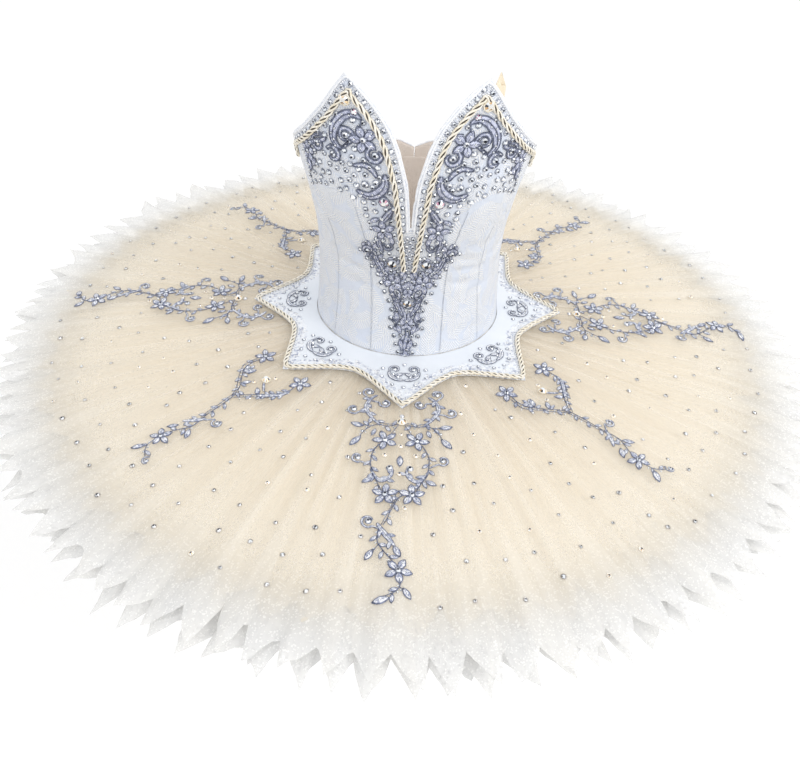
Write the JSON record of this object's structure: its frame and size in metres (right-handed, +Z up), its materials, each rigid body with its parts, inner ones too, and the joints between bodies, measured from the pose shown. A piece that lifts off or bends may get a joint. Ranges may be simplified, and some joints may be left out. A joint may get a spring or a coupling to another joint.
{
  "type": "ballet tutu",
  "caption": "Pancake tutu: a boned strapless bodice with a deep V neck, a star-pointed plate with embroidered sprays, and a stiff round skirt of layered net over knickers.",
  "frame": {"origin": "centre of the waist, on the body's axis, where the wearer's waist holds the tutu", "axes": "+Z up along the wearer's spine, -Y the way the wearer faces, +X towards the wearer's left"},
  "size_m": [1.0797, 1.0803, 0.5005],
  "materials": {
    "brocade": "woven satin brocade, faint blue-grey",
    "nude_lining": "plain coutil, matt",
    "knickers_lycra": "matt knit",
    "plate_satin": "satin",
    "net_glitter": "hexagonal net with fine glitter",
    "net_cream": "stiff hexagonal net",
    "net_white": "stiff hexagonal net",
    "gold_braid": "twisted metallic braid",
    "silver_blue_cord": "metallic corded applique with set stones",
    "nude_elastic": "ribbed elastic",
    "hook_steel": "nickel-plated wire"
  },
  "bodies": {
    "root": {"centre_front": "brocade", "side_front_left": "brocade", "side_front_right": "brocade", "side_left": "brocade", "side_right": "brocade", "back_left": "brocade", "back_right": "brocade", "back_lining_left": "nude_lining", "back_lining_right": "nude_lining", "back_placket": "nude_lining", "knickers_front": "knickers_lycra", "knickers_back": "knickers_lycra", "plate": "plate_satin", "plate_rope": "gold_braid", "neck_braid_left": "gold_braid", "neck_braid_right": "gold_braid", "net_top": "net_glitter", "net_cream": "net_cream", "net_white_1": "net_white", "net_white_2": "net_white", "net_white_3": "net_white", "net_white_4": "net_white", "spray_0": "silver_blue_cord", "spray_45": "silver_blue_cord", "spray_90": "silver_blue_cord", "spray_135": "silver_blue_cord", "spray_180": "silver_blue_cord", "spray_225": "silver_blue_cord", "spray_270": "silver_blue_cord", "spray_315": "silver_blue_cord", "cup_applique_left": "silver_blue_cord", "cup_applique_right": "silver_blue_cord", "front_applique": "silver_blue_cord", "shoulder_strap_left": "nude_elastic", "shoulder_strap_right": "nude_elastic", "back_hook_1": "hook_steel", "back_hook_2": "hook_steel", "back_hook_3": "hook_steel", "back_hook_4": "hook_steel", "back_hook_5": "hook_steel", "back_hook_6": "hook_steel", "back_hook_7": "hook_steel", "back_hook_8": "hook_steel"}
  },
  "joints": []
}
